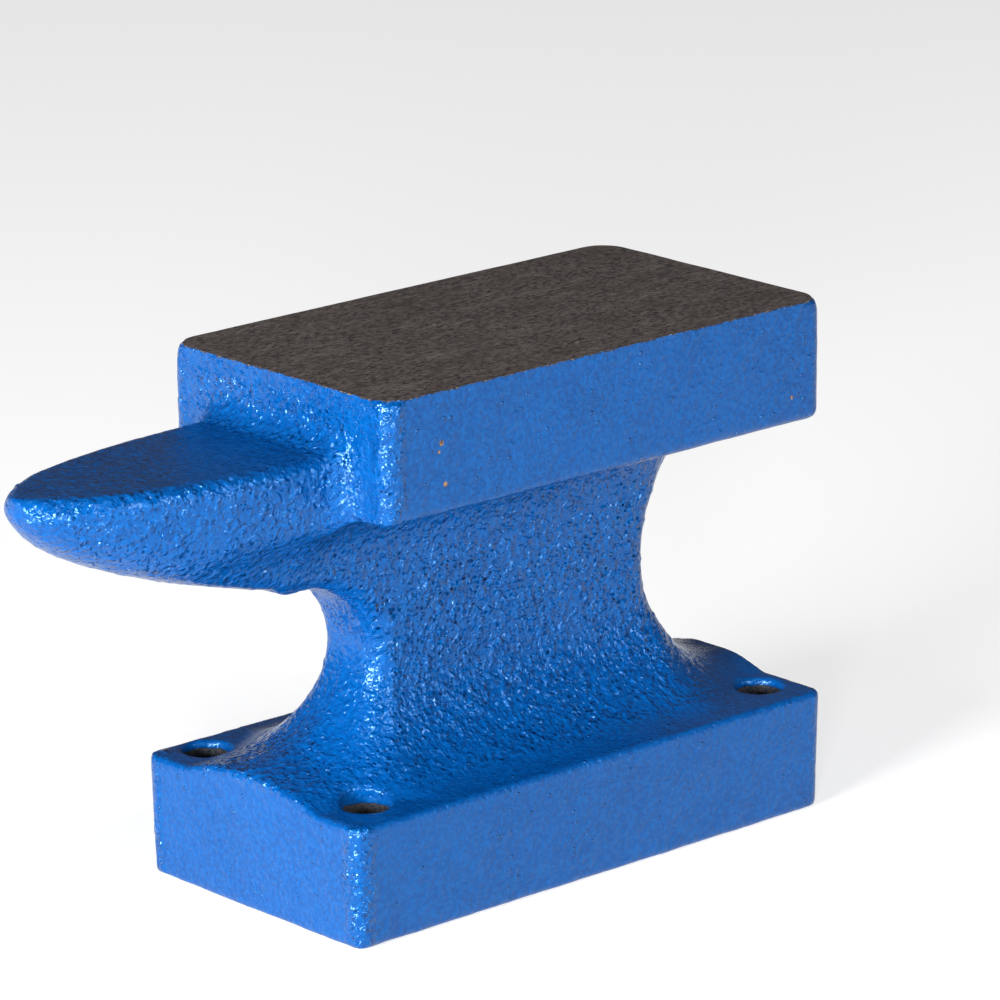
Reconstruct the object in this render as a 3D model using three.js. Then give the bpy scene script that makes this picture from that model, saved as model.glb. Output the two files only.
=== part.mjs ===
// A small cast-iron bench anvil: a ground working face on a deep rectangular block, a short flat-topped
// horn at one end, a waist hollowed on all four sides, and a thick base with four bolt holes.
//
// The real anvil is poured in one piece. Each mesh here is one named region of that casting, and the
// regions meet on flat planes without overlapping.
//
// Millimetres, +Z up. The origin is the middle of the base's underside, and X runs from the horn towards
// the heel. The casting is symmetrical about the XZ plane, but for one bolt hole that was drilled wide.

import * as THREE from 'three';
import { LoftGeometry } from 'three/addons/geometries/LoftGeometry.js';

// Driving dimensions.
const HEIGHT = 110;
const FACE = { thickness: 1 };
const BLOCK = { front: -55.5, heel: 63.5, width: 65.5, underside: 84.5, corner: 3.2, edge: 1 };
const BASE = { length: 129, width: 66, height: 25.5, corner: 3.2, edge: 0.8 };
const HOLE = { diameter: 10, frontX: -52.8, rearX: 56.2, y: 21.8 };
const WIDE_HOLE = { x: -53.7, y: 26 };
const HORN = { length: 66.5, width: 39.4, topBelowFace: 12.5, depth: 31.2, rim: 3 };
const WAIST = { front: -37.8, rear: 36.5, halfWidth: 9.5, corner: 5, cornerGrowth: 1.15 };

// The concave ends of the waist are arcs seen from the side. The heel's arc is the larger one, because
// the horn hangs lower than the heel. Under the horn an apron slopes on from the arc to the base's end.
const HEEL_THROAT = { radius: 27, centreZ: 55.3 };
const HORN_THROAT = { radius: 17.5, centreZ: 48.3 };
const APRON_DROP = 2.4;

// The waist where it stands on the base, with long rounded corners that leave the bolt holes clear, and
// where it meets the block. Its sides flare out to both on arcs.
const FOOT = { end: 63, halfWidth: 31.5, cornerX: 46, cornerPower: 1.35 };
const HEAD = { end: 61.5, halfWidth: 24.5 };

// The keel is the waist's upper flare carried forward under the horn, with rounded lower edges.
const KEEL = { reach: 0.45, edge: 4.5 };

// The horn's plan is a little fuller than an ellipse. Its depth falls away faster towards the tip, which
// droops, and its section turns from nearly square at the root to nearly oval.
const PLAN_POWER = 2.15;
const DEPTH_POWER = 0.46;
const HULL_POWER = { root: 3.4, tip: 2.2 };
const DROOP = { from: 0.94, drop: 2.5, bellyShare: 0.3 };
const RIM_SHARE = { ofWidth: 0.45, ofDepth: 0.3 };
// The last section stops just short of the point.
const LAST_STATION = 0.96;
const HULL_END = 0.995;

// The smallest corner and flat kept where an outline closes up.
const LEAST_CORNER = 0.5;

// How finely the curves are cut.
const CORNER_STEPS = 8;
const EDGE_STEPS = 3;
const WAIST_LEVELS = 11;
const HORN_STATIONS = 18;
const HORN_HULL_STEPS = 12;
const RIM_STEPS = 3;

const FOOT_FLARE = FOOT.halfWidth - WAIST.halfWidth;
const HEAD_FLARE = HEAD.halfWidth - WAIST.halfWidth;
const HORN_TOP = HEIGHT - HORN.topBelowFace;
const KEEL_BOTTOM = HORN_TOP - HORN.depth;

const smoothstep = (t) => THREE.MathUtils.smoothstep(t, 0, 1);

// How far an arc of this radius has curved away at this distance from its narrowest point.
function arcRise(radius, distance) {
  return radius - Math.sqrt(Math.max(0, radius * radius - distance * distance));
}

// One closed outline at height z. An end gives where it stands in X and its corners' radii along X and
// Y. A power of 2 makes the corners elliptical, and less flattens them.
function outline(front, rear, halfWidth, z, power = 2) {
  const points = [];
  for (let corner = 0; corner < 4; corner += 1) {
    const end = corner === 0 || corner === 3 ? rear : front;
    const inward = end === rear ? -1 : 1;
    const centreX = end.x + inward * end.rx;
    const centreY = (corner < 2 ? 1 : -1) * (halfWidth - end.ry);
    for (let i = 0; i <= CORNER_STEPS; i += 1) {
      const angle = ((corner + i / CORNER_STEPS) * Math.PI) / 2;
      const c = Math.cos(angle);
      const s = Math.sin(angle);
      points.push(new THREE.Vector3(
        centreX + end.rx * Math.sign(c) * Math.abs(c) ** (2 / power),
        centreY + end.ry * Math.sign(s) * Math.abs(s) ** (2 / power),
        z,
      ));
    }
  }
  return points;
}

// A rounded rectangle from x0 to x1, drawn in by an inset.
function rectangle(x0, x1, width, corner, inset, z) {
  const radius = corner - inset;
  const front = { x: x0 + inset, rx: radius, ry: radius };
  const rear = { x: x1 - inset, rx: radius, ry: radius };
  return outline(front, rear, width / 2 - inset, z);
}

function loft(sections) {
  return new LoftGeometry(sections, { closed: true, capStart: true, capEnd: true });
}

function part(name, geometry, colour, roughness, metalness) {
  const material = new THREE.MeshStandardMaterial({ color: colour, roughness, metalness });
  const mesh = new THREE.Mesh(geometry, material);
  mesh.name = name;
  return mesh;
}

const painted = (name, geometry) => part(name, geometry, 0x1c5cc4, 0.35, 0.0);
const groundIron = (name, geometry) => part(name, geometry, 0x463c34, 0.5, 0.8);

// The ground working face: the bare top millimetre of the block.
function workingFace() {
  const bottom = rectangle(BLOCK.front, BLOCK.heel, BLOCK.width, BLOCK.corner, 0, HEIGHT - FACE.thickness);
  const top = rectangle(BLOCK.front, BLOCK.heel, BLOCK.width, BLOCK.corner, 0, HEIGHT);
  return groundIron('working_face', loft([bottom, top]));
}

// The block under the face, with a rounded lower edge. Its rear end is the heel.
function topBlock() {
  const section = (inset, z) => rectangle(BLOCK.front, BLOCK.heel, BLOCK.width, BLOCK.corner, inset, z);
  const sections = [];
  for (let i = 0; i <= EDGE_STEPS; i += 1) {
    const angle = ((i / EDGE_STEPS) * Math.PI) / 2;
    const inset = BLOCK.edge * (1 - Math.sin(angle));
    sections.push(section(inset, BLOCK.underside + BLOCK.edge * (1 - Math.cos(angle))));
  }
  sections.push(section(0, HEIGHT - FACE.thickness));
  return painted('top_block', loft(sections));
}

// Half the waist's width at height z, which the horn's keel shares.
function waistHalfWidth(z) {
  const foot = Math.max(0, BASE.height + FOOT_FLARE - z);
  const head = Math.max(0, z - (BLOCK.underside - HEAD_FLARE));
  return WAIST.halfWidth + arcRise(FOOT_FLARE, foot) + arcRise(HEAD_FLARE, head);
}

// Where the waist ends at height z, as a distance outward from its narrowest length.
function throatRise(throat, z) {
  return arcRise(throat.radius, Math.min(throat.radius, Math.abs(z - throat.centreZ)));
}

// How far forward the waist runs at height z, measured from its narrowest: an arc, then above it the
// horn's root, and below it the apron.
function frontRise(z) {
  const toRoot = WAIST.front - BLOCK.front;
  if (z >= KEEL_BOTTOM) return toRoot;
  const arc = Math.min(throatRise(HORN_THROAT, z), toRoot);
  const apron = (HORN_THROAT.centreZ - HORN_THROAT.radius - z) / APRON_DROP;
  return THREE.MathUtils.lerp(arc, FOOT.end + WAIST.front, THREE.MathUtils.clamp(apron, 0, 1));
}

// The waist: a stack of outlines from the base to the block's underside.
function waist() {
  const sections = [];
  const middle = (BLOCK.underside + BASE.height) / 2;
  for (let i = -WAIST_LEVELS; i <= WAIST_LEVELS; i += 1) {
    // Levels crowd together at the foot and the head, where the flares turn fastest.
    const share = Math.sin(((i / WAIST_LEVELS) * Math.PI) / 2);
    const z = middle + share * (BLOCK.underside - middle);
    const low = share < 0;
    const halfWidth = waistHalfWidth(z);
    const flare = halfWidth - WAIST.halfWidth;
    const footShare = low ? flare / FOOT_FLARE : 0;
    const cornerY = Math.min(WAIST.corner + flare * WAIST.cornerGrowth, halfWidth - LEAST_CORNER);
    const corners = (rise) => {
      const spread = FOOT.cornerX - WAIST.corner - (FOOT.end - WAIST.rear);
      return { rx: WAIST.corner + rise + spread * footShare ** 3, ry: cornerY };
    };

    const heelReach = (low ? FOOT.end : HEAD.end) - WAIST.rear;
    const heelRise = Math.min(throatRise(HEEL_THROAT, z), heelReach);
    const rear = { x: WAIST.rear + heelRise, ...corners(heelRise) };

    const rise = frontRise(z);
    const front = { x: WAIST.front - rise, ...corners(rise) };
    if (z > HORN_THROAT.centreZ) {
      // Towards the horn's root the front corners close up, until the end is square.
      const square = smoothstep((z - KEEL_BOTTOM) / KEEL.edge);
      front.rx = THREE.MathUtils.lerp(WAIST.corner, LEAST_CORNER, square);
      front.ry = front.rx;
    }
    const power = THREE.MathUtils.lerp(2, FOOT.cornerPower, footShare);
    sections.push(outline(front, rear, halfWidth, z, power));
  }
  return painted('waist', loft(sections));
}

// Half the width of the horn's root at height z: an upright side over the keel.
function rootHalfWidth(z) {
  const side = HORN.width / 2;
  const intoEdge = Math.max(0, KEEL_BOTTOM + KEEL.edge - z);
  return Math.min(side, waistHalfWidth(z)) - arcRise(KEEL.edge, intoEdge);
}

// One cross-section of the horn, at a share of its length from the root (0) to the tip (1).
function hornSection(share) {
  const halfWidth = (HORN.width / 2) * (1 - share ** PLAN_POWER) ** (1 / PLAN_POWER);
  const droop = DROOP.drop * Math.max(0, (share - DROOP.from) / (1 - DROOP.from)) ** 2;
  const top = HORN_TOP - droop;
  const depth = HORN.depth * (1 - share) ** DEPTH_POWER - droop * DROOP.bellyShare;
  const rim = Math.min(HORN.rim, halfWidth * RIM_SHARE.ofWidth, depth * RIM_SHARE.ofDepth);
  const keel = 1 - smoothstep(share / KEEL.reach);
  const hullPower = THREE.MathUtils.lerp(HULL_POWER.root, HULL_POWER.tip, share);

  const half = [];
  for (let i = 0; i <= RIM_STEPS; i += 1) {
    const angle = ((i / RIM_STEPS) * Math.PI) / 2;
    half.push([halfWidth - rim + rim * Math.sin(angle), top - rim + rim * Math.cos(angle)]);
  }
  for (let i = 1; i <= HORN_HULL_STEPS; i += 1) {
    const down = Math.sin(((i / HORN_HULL_STEPS) * Math.PI) / 2) * HULL_END;
    const z = top - rim - (depth - rim) * down;
    const hull = halfWidth * (1 - down ** hullPower) ** (1 / hullPower);
    const rootZ = HORN_TOP - rim - (HORN.depth - rim) * down;
    const root = rootHalfWidth(rootZ) * (halfWidth / (HORN.width / 2));
    half.push([THREE.MathUtils.lerp(hull, root, keel), z]);
  }
  const x = BLOCK.front - HORN.length * share;
  const near = half.map(([y, z]) => new THREE.Vector3(x, -y, z)).reverse();
  const far = half.map(([y, z]) => new THREE.Vector3(x, y, z));
  return [...near, ...far];
}

// The horn: cross-sections from the block's front to a blunt tip.
function horn() {
  const sections = [];
  for (let i = 0; i <= HORN_STATIONS; i += 1) {
    sections.push(hornSection(Math.sin(((i / HORN_STATIONS) * LAST_STATION * Math.PI) / 2)));
  }
  return painted('horn', loft(sections));
}

// The base: a slab with eased edges and four plain through holes for bolts.
function base() {
  const x = BASE.length / 2 - BASE.corner;
  const y = BASE.width / 2 - BASE.corner;
  const slab = new THREE.Shape();
  slab.absarc(x, y, BASE.corner, 0, Math.PI / 2);
  slab.absarc(-x, y, BASE.corner, Math.PI / 2, Math.PI);
  slab.absarc(-x, -y, BASE.corner, Math.PI, 1.5 * Math.PI);
  slab.absarc(x, -y, BASE.corner, 1.5 * Math.PI, 2 * Math.PI);
  const holes = [
    [HOLE.frontX, -HOLE.y],
    [HOLE.rearX, -HOLE.y],
    [HOLE.rearX, HOLE.y],
    [WIDE_HOLE.x, WIDE_HOLE.y],
  ];
  for (const [holeX, holeY] of holes) {
    const rim = new THREE.Path();
    rim.absarc(holeX, holeY, HOLE.diameter / 2, 0, 2 * Math.PI, true);
    slab.holes.push(rim);
  }
  const geometry = new THREE.ExtrudeGeometry(slab, {
    depth: BASE.height - 2 * BASE.edge,
    bevelThickness: BASE.edge,
    bevelSize: BASE.edge,
    bevelOffset: -BASE.edge,
    bevelSegments: 1,
    curveSegments: 12,
  });
  geometry.translate(0, 0, BASE.edge);
  return painted('base', geometry);
}

const anvil = new THREE.Group();
anvil.add(workingFace(), topBlock(), horn(), waist(), base());

export default anvil;
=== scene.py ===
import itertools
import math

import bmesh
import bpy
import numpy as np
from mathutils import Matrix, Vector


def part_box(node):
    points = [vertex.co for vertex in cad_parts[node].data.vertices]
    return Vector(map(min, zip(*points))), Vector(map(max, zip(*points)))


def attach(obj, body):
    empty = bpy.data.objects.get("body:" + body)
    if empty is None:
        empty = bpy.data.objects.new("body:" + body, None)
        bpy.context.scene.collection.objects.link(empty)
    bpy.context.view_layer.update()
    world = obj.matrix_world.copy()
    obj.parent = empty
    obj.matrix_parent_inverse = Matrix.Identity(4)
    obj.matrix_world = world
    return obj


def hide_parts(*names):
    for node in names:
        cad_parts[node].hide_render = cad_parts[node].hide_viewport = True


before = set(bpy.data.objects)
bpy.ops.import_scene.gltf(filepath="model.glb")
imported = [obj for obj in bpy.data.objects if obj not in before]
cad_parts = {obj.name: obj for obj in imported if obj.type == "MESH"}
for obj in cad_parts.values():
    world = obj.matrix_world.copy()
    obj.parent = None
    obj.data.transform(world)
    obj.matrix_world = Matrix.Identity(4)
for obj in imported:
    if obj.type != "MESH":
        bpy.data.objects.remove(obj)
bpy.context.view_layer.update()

# A small cast-iron bench anvil: one sand casting in glossy blue enamel, with a bare, ground working face.
#
# The whole casting is described once, as a distance field in millimetres whose surfaces run into each
# other in fillets, and is meshed in one go. It is then roughened like a sand casting and cut on planes
# into one closed piece for each CAD node.

import openvdb
from mathutils import Matrix, Vector

MM = 0.001

# The distance field: the spacing of its grid, how far from the surface it is kept, and the room over the
# working face before that is cut.
VOXEL = 0.55
BAND = 3.0
HEADROOM = 4

# ---------------------------------------------------------------------------------------------------
# Sizes from the frame, in millimetres.


def box_mm(node):
    low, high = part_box(node)
    return np.array(low) / MM, np.array(high) / MM


def levels_mm(node):
    """The (lowest, highest) corners of each level of a node's vertices."""
    points = np.array([v.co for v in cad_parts[node].data.vertices]) / MM
    height = points[:, 2].round(1)
    return [(points[height == z].min(0), points[height == z].max(0)) for z in np.unique(height)]


BASE_LOW, BASE_HIGH = box_mm("base")
BLOCK_LOW, BLOCK_HIGH = box_mm("top_block")
FACE_LOW, FACE_HIGH = box_mm("working_face")
HORN_LOW, HORN_HIGH = box_mm("horn")
WAIST_LEVELS = levels_mm("waist")

BASE_TOP = BASE_HIGH[2]
UNDERSIDE = BLOCK_LOW[2]
THROAT_MIDDLE = (BASE_TOP + UNDERSIDE) / 2
TOP = FACE_HIGH[2]
BLOCK_FRONT = BLOCK_LOW[0]
HORN_TOP = HORN_HIGH[2]
HORN_LENGTH = BLOCK_FRONT - HORN_LOW[0]
HORN_HALF_WIDTH = HORN_HIGH[1]
HORN_DEPTH = HORN_TOP - HORN_LOW[2]

# The waist at its narrowest, seen from the side and from the end.
WAIST_FRONT = max(low[0] for low, high in WAIST_LEVELS)
WAIST_REAR = min(high[0] for low, high in WAIST_LEVELS)
WAIST_HALF_WIDTH = min(high[1] for low, high in WAIST_LEVELS)

# The upright edges of the block and the base. The block's round off further close under its face.
UPRIGHT_CORNER = 3.2
CORNER_DROP = 3.0
CORNER_GROWTH = 3.2

# Fillets of the casting.
HORN_THROAT = 17.5
HEEL_THROAT = 27.0
FOOT_FLARE = 22.0
HEAD_FLARE = 15.0
WAIST_CORNER = 4.6
FOOT_CORNER = 13.0
APRON_CORNER = 6.0
HEAD_CORNER = 6.5
HORN_FILLET = 5.5

# The waist's corners widen this close to the base and to the block. At the block they do so over a height of
# HEAD_BLEND, and only behind the middle, where that sets in over a length of HEEL_BLEND.
CORNER_REACH = 16
HEAD_BLEND = 14
HEEL_BLEND = 20

# Under the horn the waist is a little wider, and its flare ends a little lower than under the block.
WAIST_SWELL = 0.6
SWELL_REACH = 20
UNDER_HORN_DROP = 1.5
UNDER_HORN_BLEND = 6

# The horn: how blunt it is from above and from the side, how square its section is, how far its shape is
# followed towards the tip, and the rounding along its flat top, which grows towards the tip.
HORN_PLAN = 2.15
HORN_RISE = 0.46
HORN_SQUARENESS = 3.2
HORN_END = 0.998
HORN_RIM = 3
HORN_RIM_GROWTH = 2
HORN_RIM_START = 0.75
# The hull's slope is taken as at least this where its values are turned into distances.
LEAST_SLOPE = 0.02
# The horn runs this far back into the block, for the fillet between them.
HORN_ROOT = 12
# The root hangs down this much further, over this share of the horn's length.
ROOT_DROP = 5
ROOT_REACH = 0.14
# The hollow under the horn starts at the horn's underside and draws away this far below it, over this share
# of the horn's length, so that it doesn't cut the horn.
KEEL_DROP = 5
KEEL_REACH = 0.3
# A distance well outside: in front of the block there is no slab over the waist.
NO_SLAB = 9

# Rounded edges.
CAST_EDGE = 2.2
BASE_EDGE = 1.1
UNDER_EDGE = 1.2
BASE_DRAFT = 0.6

# The foot runs out over the base's ends in low arches, and the heel's underside has one like them.
APRON_HEIGHT = 3.4
APRON_SLOPE = 0.22
APRON_FALL = 0.15
APRON_RIDGE = 4.0
APRON_HALF_WIDTH = 26.0
HEEL_ARCH = 2.6
HEEL_CEILING = 2.2

HOLE_RADIUS = 5.0
HOLE_MOUTH = 0.8
# The drill starts this far over the base's top, so that it cuts the foot and not the block.
BORE_RISE = 9
# The holes' distances from the base's two ends.
HOLE_INSETS = (11.7, 8.3)
HOLE_SPAN = (BASE_LOW[0] + HOLE_INSETS[0], BASE_HIGH[0] - HOLE_INSETS[1])
HOLE_OUT = 21.8
# The far hole at the horn's end was drilled this far wide of its place, along X and Y.
DRILLED_WIDE = (-0.9, 4.2)
HOLES = [
    (HOLE_SPAN[0], -HOLE_OUT),
    (HOLE_SPAN[1], -HOLE_OUT),
    (HOLE_SPAN[1], HOLE_OUT),
    (HOLE_SPAN[0] + DRILLED_WIDE[0], HOLE_OUT + DRILLED_WIDE[1]),
]

# Chips in the enamel on the block's near side: X, Z and size.
CHIPS = [(-41.5, 99.5, 0.8), (-42.1, 97.9, 0.5), (-40.5, 91.0, 0.7), (-27.0, 93.5, 0.35), (54.5, 90.5, 0.6)]

# Dents in the edges: the middle of each and its reach along X, Y and Z.
DENTS = [
    ((BASE_HIGH[0], 9.0, BASE_TOP + 3.0), (1.6, 2.6, 1.5)),
    ((-46.0, BASE_HIGH[1] + 0.4, BASE_TOP + 0.3), (2.4, 1.0, 1.0)),
    ((-41.0, BASE_HIGH[1] + 0.4, BASE_TOP + 0.3), (1.6, 0.9, 0.9)),
    ((BASE_HIGH[0] + 0.3, BASE_LOW[1] + 0.8, 0.0), (1.4, 1.6, 1.2)),
]
DENT_EDGE = 0.4
# A hole or a dent changes the distance field only this far beyond its own reach.
CLEARANCE = 2


# ---------------------------------------------------------------------------------------------------
# The casting as a distance field: negative inside, and about the distance to the surface in millimetres.


def smooth(t):
    t = np.clip(t, 0, 1)
    return t * t * (3 - 2 * t)


def fillet(a, b, radius):
    """Two solids joined, with a concave fillet where they meet."""
    reach = np.hypot(np.maximum(radius - a, 0), np.maximum(radius - b, 0))
    return np.maximum(radius, np.minimum(a, b)) - reach


def rounded(a, b, radius):
    """What two solids have in common, with a rounded edge where their surfaces meet."""
    reach = np.hypot(np.maximum(radius + a, 0), np.maximum(radius + b, 0))
    return np.minimum(-radius, np.maximum(a, b)) + reach


def rounded_rectangle(x, y, low_x, high_x, half_y, corner):
    out_x = np.abs(x - (low_x + high_x) / 2) - (high_x - low_x) / 2 + corner
    out_y = np.abs(y) - half_y + corner
    outside = np.hypot(np.maximum(out_x, 0), np.maximum(out_y, 0))
    return outside + np.minimum(np.maximum(out_x, out_y), 0) - corner


def horn_share(x):
    """0 at the horn's root, 1 at its tip."""
    return np.clip((BLOCK_FRONT - x) / HORN_LENGTH, 0, 1)


def across(x, y, z):
    """The section across the anvil: the waist's flat sides flare on arcs to the base and to the block."""
    under_horn = UNDER_HORN_DROP * smooth((BLOCK_FRONT + UNDER_HORN_BLEND / 2 - x) / UNDER_HORN_BLEND)
    side = np.abs(y) - WAIST_HALF_WIDTH - WAIST_SWELL * smooth((WAIST_FRONT - x) / SWELL_REACH)
    head = fillet(side, UNDERSIDE - under_horn - z, HEAD_FLARE)
    return fillet(head, z - BASE_TOP, FOOT_FLARE)


def along(x, y, z):
    """The section along the anvil: the concave ends, the arches over the base and the horn's root."""
    share = horn_share(x)
    column = np.maximum(WAIST_FRONT - x, x - WAIST_REAR)
    fall = APRON_FALL * (np.hypot(y, APRON_RIDGE) - APRON_RIDGE)
    climb = APRON_SLOPE * (x - BASE_LOW[0]) * np.clip(1 - np.abs(y) / APRON_HALF_WIDTH, 0, 1)
    apron = z - (BASE_TOP + APRON_HEIGHT + climb - fall)
    keel = HORN_TOP - HORN_DEPTH * (1 - share) ** HORN_RISE - KEEL_DROP * smooth(share / KEEL_REACH)
    front = fillet(column, apron / math.hypot(1, APRON_SLOPE), HORN_THROAT)
    front = fillet(front, keel - z, HORN_THROAT)
    rear = fillet(column, z - (BASE_TOP + HEEL_ARCH), HEEL_THROAT)
    rear = fillet(rear, UNDERSIDE - HEEL_CEILING - z, HEEL_THROAT)
    return np.where(x < 0, front, rear)


def horn_hull(x, y, z):
    """The horn's outside: half of a fat ellipse that narrows and rises towards a blunt tip."""
    share = np.minimum(horn_share(x), HORN_END)
    half_width = HORN_HALF_WIDTH * (1 - share**HORN_PLAN) ** (1 / HORN_PLAN)
    depth = HORN_DEPTH * (1 - share) ** HORN_RISE + ROOT_DROP * (1 - smooth(share / ROOT_REACH))
    power = HORN_SQUARENESS - share
    down = np.maximum(HORN_TOP - z, 0)
    hull = ((np.abs(y) / half_width) ** power + (down / depth) ** power) ** (1 / power) - 1
    slope = np.sqrt(sum(step**2 for step in np.gradient(hull, VOXEL)))
    hull = hull / np.maximum(slope, LEAST_SLOPE)
    rim = HORN_RIM + HORN_RIM_GROWTH * smooth((share - HORN_RIM_START) / (1 - HORN_RIM_START))
    return rounded(hull, z - HORN_TOP, rim)


def casting(x, y, z):
    """The undrilled anvil, a little taller than it is: the working face is cut on it afterwards."""
    foot_corner = np.where(x < 0, APRON_CORNER, FOOT_CORNER)
    at_foot = smooth((BASE_TOP + CORNER_REACH - z) / CORNER_REACH)
    corner = WAIST_CORNER + (foot_corner - WAIST_CORNER) * at_foot
    heel_corner = HEAD_CORNER * smooth((z - UNDERSIDE + CORNER_REACH) / HEAD_BLEND) * smooth(x / HEEL_BLEND)
    hollows = rounded(across(x, y, z), along(x, y, z), corner + heel_corner)
    slabs = np.minimum(z - BASE_TOP, np.where(x < BLOCK_FRONT, NO_SLAB, UNDERSIDE - z))
    hollows = np.minimum(hollows, slabs)

    draft = BASE_DRAFT * np.clip(1 - z / BASE_TOP, 0, 1)
    low = rounded_rectangle(x, y, BASE_LOW[0], BASE_HIGH[0], BASE_HIGH[1], UPRIGHT_CORNER) + draft
    near_top = np.clip((z - TOP + CORNER_DROP) / CORNER_DROP, 0, 1)
    upright = UPRIGHT_CORNER + CORNER_GROWTH * (1 - np.sqrt(1 - near_top**2))
    high = rounded_rectangle(x, y, BLOCK_FRONT, BLOCK_HIGH[0], BLOCK_HIGH[1], upright)
    front = int(np.searchsorted(x.ravel(), BLOCK_FRONT + HORN_ROOT))
    high[:front] = fillet(high[:front], horn_hull(x[:front], y, z), HORN_FILLET)
    envelope = np.where(z < THROAT_MIDDLE, low, high)

    solid = rounded(envelope, hollows, np.where(z < THROAT_MIDDLE, BASE_EDGE, CAST_EDGE))
    return rounded(solid, -z, UNDER_EDGE)


def drill(solid, x, y, z):
    """Cuts the bolt holes."""
    for hole_x, hole_y in HOLES:
        reach = HOLE_RADIUS + CLEARANCE
        part = slice(*np.searchsorted(x.ravel(), [hole_x - reach, hole_x + reach]))
        bore = np.maximum(np.hypot(x[part] - hole_x, y - hole_y) - HOLE_RADIUS, z - BASE_TOP - BORE_RISE)
        solid[part] = rounded(solid[part], -bore, HOLE_MOUTH)


def chip(solid, x, y, z):
    """Knocks small dents out of the casting's edges."""
    for (dent_x, dent_y, dent_z), (length, width, height) in DENTS:
        reach = length + CLEARANCE
        part = slice(*np.searchsorted(x.ravel(), [dent_x - reach, dent_x + reach]))
        offset = ((x[part] - dent_x) / length, (y - dent_y) / width, (z - dent_z) / height)
        dent = (np.sqrt(sum(step**2 for step in offset)) - 1) * min(length, width, height)
        solid[part] = rounded(solid[part], -dent, DENT_EDGE)


def cast_surface():
    """Vertices and quads of the casting's surface, in millimetres."""
    margin = 4 * VOXEL
    low = np.array([HORN_LOW[0], 0, 0]) - margin
    high = np.array([BASE_HIGH[0], BASE_HIGH[1], TOP + HEADROOM]) + margin
    x = np.arange(low[0], high[0], VOXEL, dtype=np.float32)[:, None, None]
    y = np.arange(0, high[1], VOXEL, dtype=np.float32)[None, :, None]
    z = np.arange(low[2], high[2], VOXEL, dtype=np.float32)[None, None, :]
    half = np.clip(casting(x, y, z), -BAND, BAND).astype(np.float32)
    whole = np.concatenate([half[:, :0:-1], half], axis=1)
    both_sides = np.concatenate([-y[:, :0:-1], y], axis=1)
    drill(whole, x, both_sides, z)
    chip(whole, x, both_sides, z)
    # The block ends inside the grid, so that the surface is closed.
    whole[:, :, -3:] = BAND
    grid = openvdb.FloatGrid(BAND)
    grid.copyFromArray(np.ascontiguousarray(whole))
    points, quads = grid.convertToQuads(isovalue=0.0)
    origin = np.array([low[0], -VOXEL * (half.shape[1] - 1), low[2]])
    return points * VOXEL + origin, quads


# ---------------------------------------------------------------------------------------------------
# The sand-cast surface.


LATTICE = 64


def lumps(points, size, seed):
    """Smooth random values from -1 to 1, whose lumps are about one size apart."""
    lattice = np.random.default_rng(seed).uniform(-1, 1, (LATTICE, LATTICE, LATTICE))
    cell = np.floor(points / size).astype(int)
    blend = smooth(points / size - cell)
    total = np.zeros(len(points))
    for corner in itertools.product((0, 1), repeat=3):
        weight = np.where(corner, blend, 1 - blend).prod(axis=1)
        i, j, k = ((cell + corner) % LATTICE).T
        total += weight * lattice[i, j, k]
    return total


def near(distance, reach):
    """1 within half the reach, 0 beyond the reach."""
    return smooth(2 - 2 * distance / reach)


# How coarse the sand was, from 0 to 1.
LEAST_COARSE = 0.15
COARSE_TOWARDS_ENDS = 0.45
COARSE_FOOT = 0.8
COARSE_EDGE = 0.8
COARSE_ROOT = 0.9

# Where it was coarse, in millimetres: each reach fades out over its second half.
HOLLOW_MIDDLE = 12
HOLLOW_REACH = 22
FOOT_REACH = 16
EDGE_REACH = 5
ROOT_LENGTH = 9
ROOT_WIDTH = 8
# Beside the horn it stays this far below the working face.
ROOT_CLEAR = 4
# Behind the waist it ends at this distance, and fades over this length before that.
HOLLOW_END = 20
HOLLOW_FADE = 12

# Rust in the holes starts this far below the base's top, is full after this depth, and lies within this
# distance of a hole's wall. Its share is at most the last of these.
RUST_START = 0.6
RUST_FADE = 1.6
RUST_WALL = 0.6
MOST_RUST = 0.9
# A chip's rust is full this close to its middle, in chip sizes, and none one size further out.
CHIP_CORE = 0.4
# From this far behind the block's near side, a chip's rust runs out quickly.
CHIP_DEPTH = 2
CHIP_FALL = 3

# The casting's waves: their spacing and height, and how much higher they are where the sand was coarse.
WAVES = [(9.0, 0.10, 0.0), (4.0, 0.05, 0.0), (2.1, 0.02, 0.04)]
# Single grains stand up where random values pass a limit: their height, and what a coarse surface adds.
GRAIN_SPACING = 1.4
GRAIN_LIMIT = 0.4
GRAIN_HEIGHT = 0.05
COARSE_GRAIN_HEIGHT = 0.45


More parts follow.
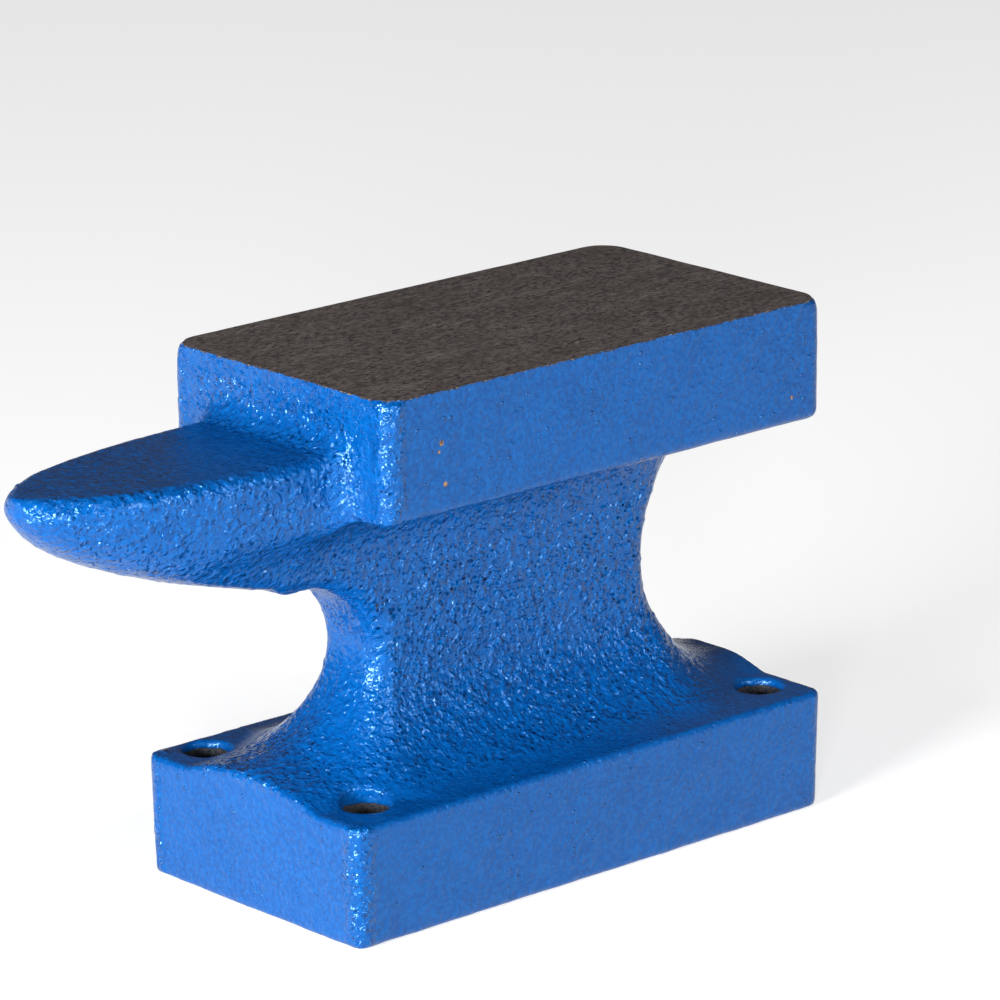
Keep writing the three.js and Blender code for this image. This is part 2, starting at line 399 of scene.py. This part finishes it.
def coarse_share(points, normals):
    """Where the sand was coarse: 1 on the hollowed sides of the waist, low on the flat outer faces."""
    x, y, z = points.T
    # The hollows: less towards the long edges, the base's top and the heel, and where they face the ends.
    hollow = near(np.abs(y) - HOLLOW_MIDDLE, HOLLOW_REACH) * smooth((z - BASE_TOP + 0.5) / 3)
    sideways = COARSE_TOWARDS_ENDS + (1 - COARSE_TOWARDS_ENDS) * np.abs(normals[:, 1])
    foot = COARSE_FOOT * near(z - BASE_TOP, FOOT_REACH)
    hollow *= smooth((WAIST_REAR + HOLLOW_END - x) / HOLLOW_FADE) * np.maximum(sideways, foot)
    # The upright edges at the horn's end are coarse too, and so is the block beside the horn's root.
    block = z > THROAT_MIDDLE
    front = np.where(block, BLOCK_FRONT, BASE_LOW[0])
    half_width = np.where(block, BLOCK_HIGH[1], BASE_HIGH[1])
    edge = COARSE_EDGE * near(np.hypot(x - front - 1, np.abs(y) - half_width + 1), EDGE_REACH)
    root = near(np.abs(x - BLOCK_FRONT), ROOT_LENGTH) * near(np.abs(y) - HORN_HALF_WIDTH, ROOT_WIDTH)
    root *= COARSE_ROOT * block * (z < TOP - ROOT_CLEAR)
    return np.clip(np.maximum.reduce([hollow, edge, root]), LEAST_COARSE, 1)


def rust_share(points):
    """Where bare iron shows: deep in the bolt holes, and in chips on the block's near side."""
    x, y, z = points.T
    rust = np.zeros(len(points))
    for hole_x, hole_y in HOLES:
        bore = np.hypot(x - hole_x, y - hole_y)
        deep = smooth((BASE_TOP - RUST_START - z) / RUST_FADE) * (bore < HOLE_RADIUS + RUST_WALL)
        rust = np.maximum(rust, MOST_RUST * deep)
    for chip_x, chip_z, size in CHIPS:
        behind = np.maximum(y + BLOCK_HIGH[1] - CHIP_DEPTH, 0)
        away = np.hypot(x - chip_x, z - chip_z) + CHIP_FALL * behind
        rust = np.maximum(rust, MOST_RUST * smooth(1 + CHIP_CORE - away / size))
    return rust


def sand_cast(points, normals):
    """Roughens the surface: long low waves, and single grains that stand higher where the sand was coarse."""
    coarse = coarse_share(points, normals)
    rust = rust_share(points)
    rise = np.zeros(len(points))
    for seed, (spacing, height, coarse_height) in enumerate(WAVES, 1):
        rise += (height + coarse_height * coarse) * lumps(points, spacing, seed)
    grains = np.maximum(lumps(points, GRAIN_SPACING, len(WAVES) + 1) - GRAIN_LIMIT, 0)
    rise += (GRAIN_HEIGHT + COARSE_GRAIN_HEIGHT * coarse) * grains
    return points + normals * rise[:, None], coarse, rust


# ---------------------------------------------------------------------------------------------------
# Meshes.

# The planes between the pieces lie half a millimetre or so off the casting's flat faces, so that they
# cross its surface at an angle.
SEAM_BASE = BASE_TOP + 0.5
SEAM_BLOCK = UNDERSIDE - 0.8
SEAM_FACE = FACE_LOW[2]
SEAM_HORN = BLOCK_FRONT - 0.5

X_AXIS, Z_AXIS = 0, 2
CUTS = [(Z_AXIS, TOP), (Z_AXIS, SEAM_FACE), (Z_AXIS, SEAM_BLOCK), (Z_AXIS, SEAM_BASE), (X_AXIS, SEAM_HORN)]
PIECES = {
    "base": "cast_base",
    "waist": "cast_waist",
    "horn": "cast_horn",
    "top_block": "cast_block",
    "working_face": "ground_face",
}
# Every piece's first material is the enamel and its second the bare iron, which the cuts' caps have.
IRON = 1

# In metres: how close to a cut a vertex is moved onto it, and how close to it a cap's outline lies.
CUT_TOLERANCE = 1e-7
RIM_TOLERANCE = 3e-7


def new_mesh(name, points, quads):
    mesh = bpy.data.meshes.new(name)
    mesh.vertices.add(len(points))
    mesh.vertices.foreach_set("co", (points * MM).astype(np.float32).ravel())
    mesh.loops.add(quads.size)
    mesh.loops.foreach_set("vertex_index", quads.astype(np.int32).ravel())
    mesh.polygons.add(len(quads))
    mesh.polygons.foreach_set("loop_start", np.arange(0, quads.size, 4, dtype=np.int32))
    mesh.update(calc_edges=True)
    mesh.validate()
    return mesh


def read(items, key, width, kind=np.float32):
    """One value for each item of a Blender collection, or a row of several."""
    values = np.empty(len(items) * width, kind)
    items.foreach_get(key, values)
    return values.reshape(-1, width) if width > 1 else values


def keep(mesh, name, values, kind="FLOAT"):
    """Stores a value for each vertex, which stays with it when the mesh is cut."""
    attribute = mesh.attributes.new(name, kind, "POINT")
    attribute.data.foreach_set("value" if kind == "FLOAT" else "vector", values.astype(np.float32).ravel())


def bisect(mesh, axis, level):
    """Cuts edges into a mesh along a plane. What stands above the working face is thrown away."""
    whole = bmesh.new()
    whole.from_mesh(mesh)
    normal = [float(i == axis) for i in range(3)]
    everything = whole.verts[:] + whole.edges[:] + whole.faces[:]
    bmesh.ops.bisect_plane(
        whole,
        geom=everything,
        dist=CUT_TOLERANCE,
        plane_co=Vector(normal) * level * MM,
        plane_no=normal,
        clear_outer=bool(level == TOP),
    )
    whole.to_mesh(mesh)
    whole.free()


def whole_casting():
    """The casting's rough surface, with edges along every cut and its smooth normals kept on it."""
    points, quads = cast_surface()
    mesh = new_mesh("casting", points, quads)
    points, coarse, rust = sand_cast(points, read(mesh.vertex_normals, "vector", 3))
    mesh.vertices.foreach_set("co", (points * MM).astype(np.float32).ravel())
    keep(mesh, "coarse", coarse)
    keep(mesh, "rust", rust)
    for axis, level in CUTS:
        bisect(mesh, axis, level)
    keep(mesh, "cast_normal", read(mesh.vertex_normals, "vector", 3), "FLOAT_VECTOR")
    return mesh


def regions(mesh):
    """The CAD node that each face of the casting belongs to."""
    x, _, z = read(mesh.polygons, "center", 3).T / MM
    return np.select(
        [z < SEAM_BASE, (x < SEAM_HORN) & (z > THROAT_MIDDLE), z > SEAM_FACE, z > SEAM_BLOCK],
        ["base", "horn", "working_face", "top_block"],
        "waist",
    )


def close(part, axis, level):
    """Caps a cut. Where two cuts meet, the cap's outline is open, and a straight edge closes it."""
    level = level * MM
    on_cut = {v for v in part.verts if abs(v.co[axis] - level) < RIM_TOLERANCE}
    rim = [e for e in part.edges if e.is_boundary and all(v in on_cut for v in e.verts)]
    if not rim:
        return
    uses = {}
    for edge in rim:
        for vertex in edge.verts:
            uses[vertex] = uses.get(vertex, 0) + 1
    ends = [vertex for vertex, count in uses.items() if count == 1]
    if len(ends) == 2:
        rim.append(part.edges.get(ends) or part.edges.new(ends))
    made = bmesh.ops.triangle_fill(part, use_beauty=True, use_dissolve=False, edges=rim)
    for face in made["geom"]:
        if isinstance(face, bmesh.types.BMFace):
            face.material_index = IRON


def cut_piece(casting_mesh, owner, node, materials):
    """One closed piece: a node's share of the surface, and a flat cap on each cut."""
    part = bmesh.new()
    part.from_mesh(casting_mesh)
    part.faces.ensure_lookup_table()
    others = [part.faces[i] for i in np.flatnonzero(owner != node)]
    bmesh.ops.delete(part, geom=others, context="FACES")
    for axis, level in CUTS:
        close(part, axis, level)
    bmesh.ops.recalc_face_normals(part, faces=part.faces[:])
    mesh = bpy.data.meshes.new(PIECES[node])
    part.to_mesh(mesh)
    part.free()
    for material in materials:
        mesh.materials.append(material)

    # The surface keeps the whole casting's normals, so that no seam shows, and the caps are flat.
    mesh.polygons.foreach_set("use_smooth", np.ones(len(mesh.polygons), bool))
    corners = read(mesh.loops, "vertex_index", 1, np.int32)
    normals = read(mesh.attributes["cast_normal"].data, "vector", 3)[corners]
    sizes = read(mesh.polygons, "loop_total", 1, np.int32)
    capped = read(mesh.polygons, "material_index", 1, np.int32) == IRON
    flat = read(mesh.polygons, "normal", 3)
    on_cap = np.repeat(capped, sizes)
    normals[on_cap] = np.repeat(flat, sizes, axis=0)[on_cap]
    mesh.normals_split_custom_set(normals)
    mesh.attributes.remove(mesh.attributes["cast_normal"])

    piece = bpy.data.objects.new(PIECES[node], mesh)
    bpy.context.scene.collection.objects.link(piece)
    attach(piece, "root")
    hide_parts(node)
    return piece


# ---------------------------------------------------------------------------------------------------
# Materials. Colours are linear.

BLUE = (0.0, 0.036, 0.155, 1)
LIGHT_BLUE = (0.0, 0.043, 0.18, 1)
PALE_BLUE = (0.0, 0.070, 0.255, 1)
PIT_BLUE = (0.0, 0.012, 0.05, 1)
DARK_RUST = (0.05, 0.025, 0.012, 1)
LIGHT_RUST = (0.27, 0.14, 0.06, 1)
# Rust in the bolt holes, darkened with painted shade.
DARK_BORE_RUST_SHADED = (0.008, 0.006, 0.005, 1)
LIGHT_BORE_RUST_SHADED = (0.045, 0.030, 0.020, 1)
DARK_EDGE = (0.014, 0.010, 0.009, 1)
LIGHT_EDGE = (0.13, 0.09, 0.06, 1)
BLUE_SHEEN = (0.32, 0.62, 1.0, 1)
DARK_IRON = (0.014, 0.011, 0.010, 1)
LIGHT_IRON = (0.175, 0.140, 0.130, 1)
STREAK_IRON = (0.19, 0.165, 0.155, 1)
RUSTY_IRON = (0.070, 0.046, 0.036, 1)
PIT_IRON = (0.012, 0.010, 0.010, 1)
SPECK_IRON = (0.5, 0.46, 0.42, 1)


class Shader:
    """A material's node tree, built up one node at a time."""

    def __init__(self, name):
        self.material = bpy.data.materials.new(name)
        self.material.use_nodes = True
        self.tree = self.material.node_tree
        self.surface = self.tree.nodes["Principled BSDF"]
        self.place = self.tree.nodes.new("ShaderNodeTexCoord").outputs["Object"]

    def set(self, socket, value):
        if isinstance(value, bpy.types.NodeSocket):
            self.tree.links.new(value, socket)
        else:
            socket.default_value = value

    def node(self, kind, inputs, **settings):
        made = self.tree.nodes.new("ShaderNode" + kind)
        for key, value in settings.items():
            setattr(made, key, value)
        for key, value in inputs.items():
            self.set(made.inputs[key], value)
        return made

    def math(self, operation, *values):
        return self.node("Math", dict(enumerate(values)), operation=operation).outputs[0]

    def vector(self, operation, *values):
        return self.node("VectorMath", dict(enumerate(values)), operation=operation).outputs[0]

    def ramp(self, value, low, high, to_low=0.0, to_high=1.0):
        inputs = {"Value": value, "From Min": low, "From Max": high, "To Min": to_low, "To Max": to_high}
        return self.node("MapRange", inputs, interpolation_type="SMOOTHSTEP").outputs["Result"]

    def mix(self, share, a, b):
        """Blends two colours, which are a Mix node's inputs 6 and 7 and its output 2."""
        made = self.node("Mix", {}, data_type="RGBA")
        for index, value in ((0, share), (6, a), (7, b)):
            self.set(made.inputs[index], value)
        return made.outputs[2]

    def noise(self, size_mm, detail=2.0, roughness=0.5, stretch=(1, 1, 1), offset=0.0):
        scale = [s / (size_mm * MM) for s in stretch]
        place = self.node("Mapping", {"Vector": self.place, "Scale": scale, "Location": [offset] * 3})
        inputs = {"Vector": place.outputs[0], "Scale": 1.0, "Detail": detail, "Roughness": roughness}
        return self.node("TexNoise", inputs).outputs["Fac"]

    def cells(self, size_mm):
        return self.node("TexVoronoi", {"Vector": self.place, "Scale": 1 / (size_mm * MM)})

    def grains(self, spacing_mm, radius, share):
        """Round domes from 0 to 1, on a share of the places this far apart. The radius is in spacings."""
        cell = self.cells(spacing_mm)
        luck = self.node("SeparateColor", {0: cell.outputs["Color"]})
        away = self.math("DIVIDE", cell.outputs["Distance"], radius)
        inside = self.math("SUBTRACT", 1.0, self.math("POWER", away, 2.0))
        dome = self.math("SQRT", self.math("MAXIMUM", inside, 0.0))
        return self.math("MULTIPLY", dome, self.math("LESS_THAN", luck.outputs[0], share))

    def facets(self, spacing_mm, reach, tilt):
        """The surface's normal, leaning at random in spots this far apart. The reach is in spacings."""
        cell = self.cells(spacing_mm)
        lean = self.vector("SUBTRACT", cell.outputs["Color"], (0.5, 0.5, 0.5))
        amount = self.math("MULTIPLY", tilt, self.ramp(cell.outputs["Distance"], reach, reach * 0.6))
        scaled = self.node("VectorMath", {"Vector": lean, "Scale": amount}, operation="SCALE").outputs[0]
        normal = self.node("NewGeometry", {}).outputs["Normal"]
        return self.vector("NORMALIZE", self.vector("ADD", normal, scaled))

    def bump(self, height, distance_mm, normal=None):
        inputs = {"Height": height, "Distance": distance_mm * MM, "Strength": 1.0}
        if normal is not None:
            inputs["Normal"] = normal
        return self.node("Bump", inputs).outputs[0]

    def attribute(self, name):
        return self.node("Attribute", {}, attribute_name=name).outputs["Fac"]

    def height(self):
        return self.node("SeparateXYZ", {0: self.place}).outputs["Z"]


def blue_enamel():
    """Glossy enamel over a sand casting: grains that glint, a few pinholes, and rust in the chips."""
    s = Shader("blue_enamel")
    coarse = s.attribute("coarse")
    patch = s.noise(16.0, 2.0, 0.6, offset=13.0)
    density = s.math("MULTIPLY", coarse, s.ramp(patch, 0.3, 0.65, 0.35, 1.0))

    large = s.grains(1.7, 0.29, s.math("MULTIPLY", density, 0.45))
    small = s.grains(1.05, 0.3, s.math("MULTIPLY", density, 0.8))
    speck = s.grains(2.6, 0.13, 0.07)
    domes = s.math("ADD", s.math("MULTIPLY", large, 0.36), s.math("MULTIPLY", small, 0.2))
    domes = s.math("MAXIMUM", domes, s.math("MULTIPLY", speck, 0.3))
    lumps = s.ramp(s.noise(1.6, 1.0, 0.4), 0.44, 0.70)
    swell = s.noise(3.2, 1.0, offset=3.0)
    fine = s.noise(1.0, 2.0, 0.6, offset=7.0)
    height = s.math("ADD", domes, s.math("MULTIPLY", lumps, s.ramp(coarse, 0, 1, 0.02, 0.24)))
    height = s.math("ADD", height, s.math("MULTIPLY", swell, s.ramp(coarse, 0, 1, 0.15, 0.4)))
    height = s.math("ADD", height, s.math("MULTIPLY", fine, s.ramp(coarse, 0, 1, 0.21, 0.26)))

    # Bare iron shows rusty in the chips, and in a broken line along the ground edge. In the bolt holes it is
    # painted much darker: rust with painted shade in the bores.
    ragged = s.noise(1.9, 5.0, 0.72, offset=11.0)
    edge = s.ramp(s.height(), (TOP - 0.8) * MM, (TOP - 0.1) * MM)
    bare = s.math("MAXIMUM", s.attribute("rust"), s.math("MULTIPLY", edge, 0.56))
    bare = s.ramp(s.math("ADD", bare, s.math("MULTIPLY", s.math("SUBTRACT", ragged, 0.5), 0.9)), 0.5, 0.6)
    height = s.math("SUBTRACT", height, s.math("MULTIPLY", bare, 0.2))

    pinhole = s.math("LESS_THAN", s.cells(2.3).outputs["Distance"], 0.06)
    tone = s.noise(14.0, 3.0, 0.6, offset=5.0)
    blue = s.mix(s.ramp(tone, 0.3, 0.7), BLUE, LIGHT_BLUE)
    blue = s.mix(s.ramp(fine, 0.38, 0.66, 0.0, 0.5), blue, PALE_BLUE)
    blue = s.mix(pinhole, blue, PIT_BLUE)
    stain = s.noise(0.7, 2.0, 0.6, offset=2.0)
    rust = s.mix(s.ramp(stain, 0.35, 0.65), DARK_RUST, LIGHT_RUST)
    # Below the base's top, bare iron takes the bore colours: rust darkened with painted shade.
    hole_shade_share = s.ramp(s.height(), UNDERSIDE * MM, BASE_TOP * MM)
    bore_rust_and_shade = s.mix(s.ramp(stain, 0.35, 0.65), DARK_BORE_RUST_SHADED, LIGHT_BORE_RUST_SHADED)
    rust = s.mix(hole_shade_share, rust, bore_rust_and_shade)
    worn = s.mix(s.ramp(stain, 0.5, 0.6), DARK_EDGE, LIGHT_EDGE)
    rust = s.mix(edge, rust, worn)
    s.set(s.surface.inputs["Base Color"], s.mix(bare, blue, rust))
    gloss = s.ramp(coarse, 0, 1, 0.26, 0.15)
    s.set(s.surface.inputs["Roughness"], s.math("MAXIMUM", gloss, s.math("MULTIPLY", bare, 0.75)))
    # The tint keeps the pale studio's soft reflections from greying the blue.
    s.surface.inputs["Specular IOR Level"].default_value = 0.6
    s.surface.inputs["Specular Tint"].default_value = BLUE_SHEEN
    glints = s.facets(1.15, 0.48, s.math("MULTIPLY", density, 1.55))
    s.set(s.surface.inputs["Normal"], s.bump(height, 1.0, glints))
    return s.material


def ground_iron():
    """Bare iron from the grinder: fine lines along the anvil, light and dark specks, and rusty patches."""
    s = Shader("ground_iron")
    lines = s.noise(0.6, 4.0, 0.75, stretch=(0.42, 1, 1))
    streaks = s.noise(2.6, 3.0, 0.7, stretch=(0.2, 1, 1), offset=4.0)
    mottle = s.noise(9.0, 4.0, 0.65, offset=1.0)
    iron = s.mix(s.ramp(lines, 0.3, 0.7), DARK_IRON, LIGHT_IRON)
    iron = s.mix(s.math("MULTIPLY", s.ramp(streaks, 0.52, 0.72), 0.4), iron, STREAK_IRON)
    iron = s.mix(s.math("MULTIPLY", s.ramp(mottle, 0.5, 0.7), 0.5), iron, RUSTY_IRON)
    bits = s.noise(1.1, 3.0, 0.6, stretch=(0.6, 1, 1), offset=8.0)
    iron = s.mix(s.ramp(bits, 0.40, 0.34), iron, PIT_IRON)
    s.set(s.surface.inputs["Base Color"], s.mix(s.ramp(bits, 0.70, 0.76), iron, SPECK_IRON))
    s.surface.inputs["Metallic"].default_value = 0.3
    s.set(s.surface.inputs["Roughness"], s.ramp(streaks, 0.3, 0.7, 0.5, 0.68))
    height = s.math("ADD", lines, s.math("MULTIPLY", streaks, 0.6))
    s.set(s.surface.inputs["Normal"], s.bump(height, 0.08))
    return s.material


def plain(name, colour, roughness):
    s = Shader(name)
    s.surface.inputs["Base Color"].default_value = (*colour, 1)
    s.surface.inputs["Roughness"].default_value = roughness
    return s.material


# ---------------------------------------------------------------------------------------------------
# The studio.


def aim(thing, location, target, roll=0.0):
    thing.location = location
    thing.rotation_mode = "QUATERNION"
    turned = (Vector(target) - Vector(location)).to_track_quat("-Z", "Y")
    thing.rotation_quaternion = turned @ Matrix.Rotation(roll, 3, "Z").to_quaternion()
    bpy.context.scene.collection.objects.link(thing)
    return thing


# The camera stands about 1.2 m away, off the horn's end of the near side. Its lens is in millimetres and its
# roll in degrees.
CAMERA_PLACE = (-0.78095, -0.86613, 0.41417)
CAMERA_DIRECTION = (0.6442, 0.7114, -0.2810)
CAMERA_ROLL = -0.42
CAMERA_LENS = 215.03


def add_camera():
    data = bpy.data.cameras.new("camera")
    data.sensor_width = 36
    data.lens = CAMERA_LENS
    location = Vector(CAMERA_PLACE)
    target = location + Vector(CAMERA_DIRECTION)
    camera = aim(bpy.data.objects.new("camera", data), location, target, math.radians(CAMERA_ROLL))
    bpy.context.scene.camera = camera


# Each light's name, azimuth, elevation, distance, width, height and power, in degrees, metres and watts.
LIGHTS = [
    ("key", -78, 9, 1.2, 0.4, 0.37, 40),
    ("front", -47, 10, 1.6, 0.15, 0.26, 14),
    ("side", 8, 15, 1.6, 0.5, 0.5, 16),
    ("rim", -35, 60, 1.6, 0.15, 0.15, 4),
]
# In metres. The floor lies just below the base, so that the two don't coincide, and glows to come out pale.
FLOOR_SIZE = 12
FLOOR_DROP = 0.0002
FLOOR_GREY = (0.5, 0.5, 0.505)
FLOOR_GLOW = 0.6
SKY_GREY = (0.105, 0.105, 0.11, 1)


def softbox(name, azimuth, elevation, distance, width, height, power):
    """A soft light aimed at the anvil. Azimuth 0 is in front of the near side, and -90 off the horn's tip."""
    a, e = math.radians(azimuth), math.radians(elevation)
    target = Vector((0, 0, TOP / 2 * MM))
    away = Vector((math.sin(a) * math.cos(e), -math.cos(a) * math.cos(e), math.sin(e)))
    data = bpy.data.lights.new(name, "AREA")
    data.shape = "RECTANGLE"
    data.size, data.size_y = width, height
    data.energy = power
    return aim(bpy.data.objects.new(name, data), target + away * distance, target)


def add_studio():
    bpy.ops.mesh.primitive_plane_add(size=FLOOR_SIZE, location=(0, 0, -FLOOR_DROP))
    floor = bpy.context.object
    floor.name = "floor"
    grey = plain("floor", FLOOR_GREY, 0.8)
    surface = grey.node_tree.nodes["Principled BSDF"].inputs
    surface["Emission Color"].default_value = (1, 1, 1, 1)
    surface["Emission Strength"].default_value = FLOOR_GLOW
    floor.data.materials.append(grey)
    for light in LIGHTS:
        softbox(*light)
    world = bpy.data.worlds.new("world")
    world.use_nodes = True
    world.node_tree.nodes["Background"].inputs["Color"].default_value = SKY_GREY
    bpy.context.scene.world = world
    bpy.context.scene.view_settings.view_transform = "Standard"


add_camera()
add_studio()
casting_mesh = whole_casting()
owner = regions(casting_mesh)
paint = [blue_enamel(), ground_iron()]
for node_name in PIECES:
    cut_piece(casting_mesh, owner, node_name, paint)
bpy.data.meshes.remove(casting_mesh)
